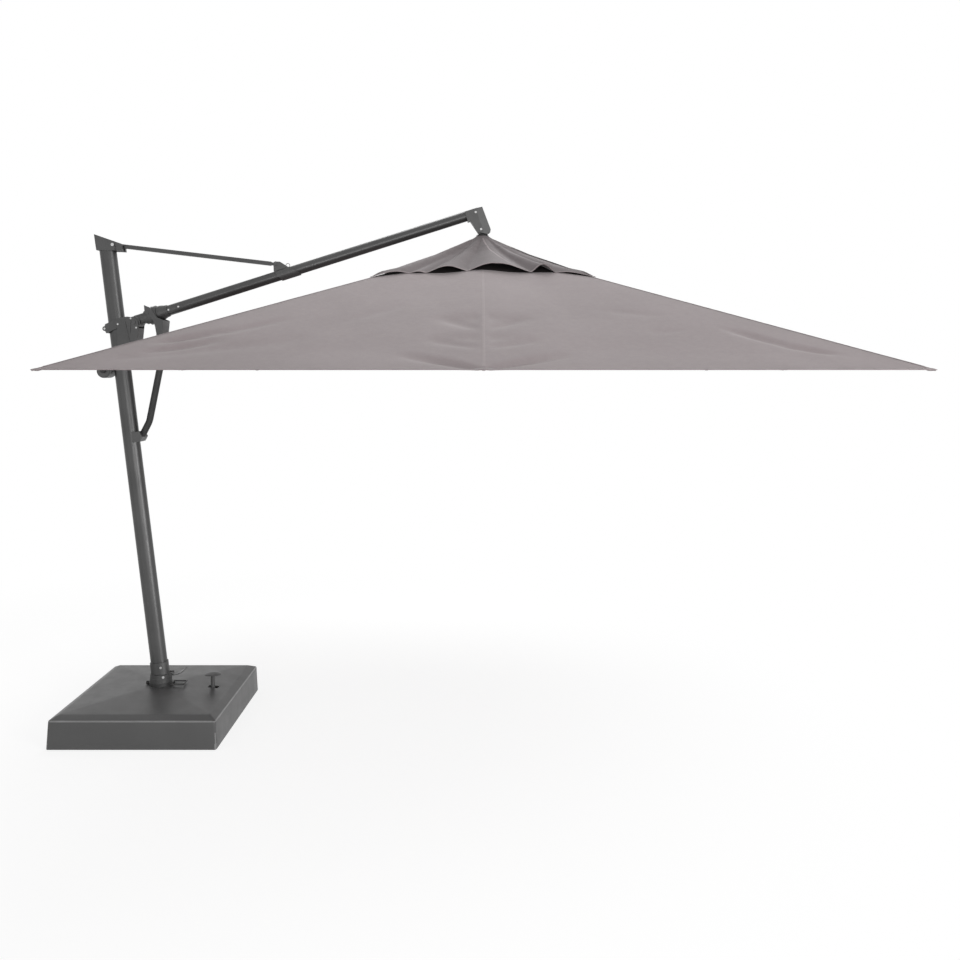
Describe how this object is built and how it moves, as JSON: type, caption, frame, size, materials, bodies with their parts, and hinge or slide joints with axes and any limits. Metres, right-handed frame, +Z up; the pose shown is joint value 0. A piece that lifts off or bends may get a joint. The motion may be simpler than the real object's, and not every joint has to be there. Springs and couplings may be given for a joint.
{
  "type": "patio umbrella with base",
  "caption": "Cantilever patio umbrella: leaning mast on a weighted square base, boom with strut, side tilt and crank, and a square ribbed canopy with a vent cap.",
  "frame": {"origin": "centre of the base's underside on the ground, on the mast's swivel axis", "axes": "+X from the mast out along the boom to the canopy, +Z up, +Y completes the right hand"},
  "size_m": [4.074, 3.505, 2.9658],
  "materials": {
    "charcoal_aluminium": "powder coated, charcoal",
    "charcoal_steel": "powder coated, charcoal",
    "cover": "fine textured, charcoal grey",
    "steel": "zinc plated",
    "rubber": "matt black",
    "nylon": "natural",
    "concrete": "cast",
    "fabric": "plain weave, warm grey"
  },
  "bodies": {
    "base": {"base_cover": "cover", "base_tray": "charcoal_steel", "ballast_slabs": "concrete", "mast_socket": "charcoal_steel", "socket_bolts": "steel", "rubber_feet": "rubber"},
    "lock_knob": {"lock_knob": "rubber"},
    "lock_loop": {"lock_loop": "charcoal_steel"},
    "wheel_frame": {"wheel_frame": "charcoal_steel"},
    "front_wheels": {"front_wheels": "rubber"},
    "rear_wheels": {"rear_wheels": "rubber"},
    "wheel_pedal": {"wheel_pedal": "charcoal_steel"},
    "mast": {"foot_collar": "charcoal_aluminium", "mast_tube": "charcoal_aluminium", "mast_head": "charcoal_aluminium", "mast_bolts": "steel"},
    "swivel_pedal": {"swivel_pedal": "charcoal_steel"},
    "carriage": {"carriage_body": "charcoal_aluminium", "glide_pads": "nylon", "carriage_screws": "steel", "boom_pin": "steel", "crank_housing": "charcoal_aluminium", "handle_tube": "charcoal_aluminium", "handle_shoe": "charcoal_aluminium"},
    "crank": {"crank_arm": "charcoal_aluminium"},
    "boom_root": {"boom_root": "charcoal_aluminium", "strut_sleeve": "charcoal_aluminium", "sleeve_pin": "steel"},
    "strut": {"strut": "charcoal_aluminium"},
    "tilt_lever": {"tilt_lever": "charcoal_aluminium"},
    "boom": {"outer_collar": "charcoal_aluminium", "boom_tube": "charcoal_aluminium", "boom_fasteners": "steel", "end_bracket": "charcoal_aluminium", "top_hub": "charcoal_aluminium"},
    "runner": {"runner": "charcoal_aluminium"},
    "rib_1": {"rib_1": "charcoal_aluminium", "gore_1": "fabric"},
    "stretcher_1": {"stretcher_1": "charcoal_aluminium"},
    "rib_2": {"rib_2": "charcoal_aluminium", "gore_2": "fabric"},
    "stretcher_2": {"stretcher_2": "charcoal_aluminium"},
    "rib_3": {"rib_3": "charcoal_aluminium", "gore_3": "fabric"},
    "stretcher_3": {"stretcher_3": "charcoal_aluminium"},
    "rib_4": {"rib_4": "charcoal_aluminium", "gore_4": "fabric"},
    "stretcher_4": {"stretcher_4": "charcoal_aluminium"},
    "rib_5": {"rib_5": "charcoal_aluminium", "gore_5": "fabric"},
    "stretcher_5": {"stretcher_5": "charcoal_aluminium"},
    "rib_6": {"rib_6": "charcoal_aluminium", "gore_6": "fabric"},
    "stretcher_6": {"stretcher_6": "charcoal_aluminium"},
    "rib_7": {"rib_7": "charcoal_aluminium", "gore_7": "fabric"},
    "stretcher_7": {"stretcher_7": "charcoal_aluminium"},
    "rib_8": {"rib_8": "charcoal_aluminium", "gore_8": "fabric"},
    "stretcher_8": {"stretcher_8": "charcoal_aluminium"}
  },
  "joints": [
    {"name": "base_swivel", "type": "hinge", "parent": "base", "child": "mast", "pos_m": [0, 0, 0.2143], "axis": [0, 0, 1], "continuous": true},
    {"name": "lock_knob_turn", "type": "hinge", "parent": "base", "child": "lock_knob", "pos_m": [-0.063, 0, 0.2048], "axis": [-1, 0, 0], "continuous": true},
    {"name": "lock_loop_lift", "type": "hinge", "parent": "base", "child": "lock_loop", "pos_m": [0.066, 0, 0.204], "axis": [0, 1, 0], "range_deg": [-20, 0]},
    {"name": "swivel_pedal_press", "type": "hinge", "parent": "mast", "child": "swivel_pedal", "pos_m": [0.062, 0, 0.258], "axis": [0, 1, 0], "range_deg": [0, 10], "stiffness_Nm_per_rad": 3, "springref_deg": -20.05},
    {"name": "wheel_lift", "type": "slide", "parent": "base", "child": "wheel_frame", "axis": [0, 0, -1], "range_m": [0, 0.0119]},
    {"name": "wheel_pedal_press", "type": "hinge", "parent": "base", "child": "wheel_pedal", "pos_m": [0.2, 0, 0.062], "axis": [0, 1, 0], "range_deg": [0, 8]},
    {"name": "front_wheel_roll", "type": "hinge", "parent": "wheel_frame", "child": "front_wheels", "pos_m": [0.382, 0, 0.032], "axis": [0, 1, 0], "continuous": true},
    {"name": "rear_wheel_roll", "type": "hinge", "parent": "wheel_frame", "child": "rear_wheels", "pos_m": [-0.382, 0, 0.032], "axis": [0, 1, 0], "continuous": true},
    {"name": "boom_fold", "type": "hinge", "parent": "carriage", "child": "boom_root", "pos_m": [-0.14112, 0, 2.29532], "axis": [0, 1, 0], "range_deg": [-56.89, 0]},
    {"name": "carriage_slide", "type": "slide", "parent": "mast", "child": "carriage", "axis": [-0.1236, 0, 0.9923], "range_m": [-1.26001, 0]},
    {"name": "strut_fold", "type": "hinge", "parent": "boom_root", "child": "strut", "pos_m": [0.67062, 0, 2.63349], "axis": [0, 1, 0], "range_deg": [0, 112.35]},
    {"name": "tilt_unlock", "type": "hinge", "parent": "boom_root", "child": "tilt_lever", "pos_m": [-0.05944, 0, 2.34871], "axis": [0, 1, 0], "range_deg": [0, 25], "stiffness_Nm_per_rad": 10, "springref_deg": -34.38},
    {"name": "side_tilt", "type": "hinge", "parent": "boom_root", "child": "boom", "pos_m": [-0.01457, 0, 2.34616], "axis": [0.9532, 0, 0.3024], "range_deg": [-25, 25]},
    {"name": "runner_slide", "type": "slide", "parent": "boom", "child": "runner", "axis": [0, 0, -1], "range_m": [0, 0.93301]},
    {"name": "rib_1_fold", "type": "hinge", "parent": "boom", "child": "rib_1", "pos_m": [1.913, 0, 2.7075], "axis": [0, 1, 0], "range_deg": [0, 63.76], "deforming": ["gore_1"]},
    {"name": "stretcher_1_fold", "type": "hinge", "parent": "rib_1", "child": "stretcher_1", "pos_m": [2.60783, 0, 2.40165], "axis": [0, 1, 0], "range_deg": [-130.62, 0]},
    {"name": "canopy_fold", "type": "hinge", "parent": "boom", "child": "rib_2", "pos_m": [1.89982, 0.03182, 2.7075], "axis": [-0.7071, 0.7071, 0], "range_deg": [0, 69.98], "deforming": ["gore_2"]},
    {"name": "stretcher_2_fold", "type": "hinge", "parent": "rib_2", "child": "stretcher_2", "pos_m": [2.3895, 0.5215, 2.48791], "axis": [-0.7071, 0.7071, 0], "range_deg": [-131.08, 0]},
    {"name": "rib_3_fold", "type": "hinge", "parent": "boom", "child": "rib_3", "pos_m": [1.868, 0.045, 2.7075], "axis": [-1, 0, 0], "range_deg": [0, 63.76], "deforming": ["gore_3"]},
    {"name": "stretcher_3_fold", "type": "hinge", "parent": "rib_3", "child": "stretcher_3", "pos_m": [1.868, 0.73983, 2.40165], "axis": [-1, 0, 0], "range_deg": [-130.62, 0]},
    {"name": "rib_4_fold", "type": "hinge", "parent": "boom", "child": "rib_4", "pos_m": [1.83618, 0.03182, 2.7075], "axis": [-0.7071, -0.7071, 0], "range_deg": [0, 69.99], "deforming": ["gore_4"]},
    {"name": "stretcher_4_fold", "type": "hinge", "parent": "rib_4", "child": "stretcher_4", "pos_m": [1.3465, 0.5215, 2.48791], "axis": [-0.7071, -0.7071, 0], "range_deg": [-131.08, 0]},
    {"name": "rib_5_fold", "type": "hinge", "parent": "boom", "child": "rib_5", "pos_m": [1.823, 0, 2.7075], "axis": [0, -1, 0], "range_deg": [0, 63.76], "deforming": ["gore_5"]},
    {"name": "stretcher_5_fold", "type": "hinge", "parent": "rib_5", "child": "stretcher_5", "pos_m": [1.12817, 0, 2.40165], "axis": [0, -1, 0], "range_deg": [-130.62, 0]},
    {"name": "rib_6_fold", "type": "hinge", "parent": "boom", "child": "rib_6", "pos_m": [1.83618, -0.03182, 2.7075], "axis": [0.7071, -0.7071, 0], "range_deg": [0, 69.99], "deforming": ["gore_6"]},
    {"name": "stretcher_6_fold", "type": "hinge", "parent": "rib_6", "child": "stretcher_6", "pos_m": [1.3465, -0.5215, 2.48791], "axis": [0.7071, -0.7071, 0], "range_deg": [-131.08, 0]},
    {"name": "rib_7_fold", "type": "hinge", "parent": "boom", "child": "rib_7", "pos_m": [1.868, -0.045, 2.7075], "axis": [1, 0, 0], "range_deg": [0, 63.76], "deforming": ["gore_7"]},
    {"name": "stretcher_7_fold", "type": "hinge", "parent": "rib_7", "child": "stretcher_7", "pos_m": [1.868, -0.73983, 2.40165], "axis": [1, 0, 0], "range_deg": [-130.62, 0]},
    {"name": "rib_8_fold", "type": "hinge", "parent": "boom", "child": "rib_8", "pos_m": [1.89982, -0.03182, 2.7075], "axis": [0.7071, 0.7071, 0], "range_deg": [0, 69.99], "deforming": ["gore_8"]},
    {"name": "stretcher_8_fold", "type": "hinge", "parent": "rib_8", "child": "stretcher_8", "pos_m": [2.3895, -0.5215, 2.48791], "axis": [0.7071, 0.7071, 0], "range_deg": [-131.08, 0]},
    {"name": "crank_turn", "type": "hinge", "parent": "carriage", "child": "crank", "pos_m": [-0.31489, 0, 2.0157], "axis": [0, 1, 0], "range_deg": [0, 1800.5]}
  ],
  "couplings": [
    {"joint": "rib_1_fold", "follows": "canopy_fold", "ratio": 0.91094},
    {"joint": "stretcher_1_fold", "follows": "canopy_fold", "ratio": -1.8662},
    {"joint": "stretcher_2_fold", "follows": "canopy_fold", "ratio": -1.8729},
    {"joint": "rib_3_fold", "follows": "canopy_fold", "ratio": 0.91094},
    {"joint": "stretcher_3_fold", "follows": "canopy_fold", "ratio": -1.8662},
    {"joint": "rib_4_fold", "follows": "canopy_fold", "ratio": 1},
    {"joint": "stretcher_4_fold", "follows": "canopy_fold", "ratio": -1.8729},
    {"joint": "rib_5_fold", "follows": "canopy_fold", "ratio": 0.91094},
    {"joint": "stretcher_5_fold", "follows": "canopy_fold", "ratio": -1.8662},
    {"joint": "rib_6_fold", "follows": "canopy_fold", "ratio": 1},
    {"joint": "stretcher_6_fold", "follows": "canopy_fold", "ratio": -1.8729},
    {"joint": "rib_7_fold", "follows": "canopy_fold", "ratio": 0.91094},
    {"joint": "stretcher_7_fold", "follows": "canopy_fold", "ratio": -1.8662},
    {"joint": "rib_8_fold", "follows": "canopy_fold", "ratio": 1},
    {"joint": "stretcher_8_fold", "follows": "canopy_fold", "ratio": -1.8729},
    {"joint": "runner_slide", "follows": "canopy_fold", "m_per_rad": 0.76384},
    {"joint": "crank_turn", "follows": "canopy_fold", "ratio": 25.72},
    {"joint": "carriage_slide", "follows": "boom_fold", "m_per_rad": 1.269},
    {"joint": "strut_fold", "follows": "boom_fold", "ratio": -1.9747},
    {"joint": "wheel_pedal_press", "follows": "wheel_lift", "rad_per_m": 11.733}
  ]
}
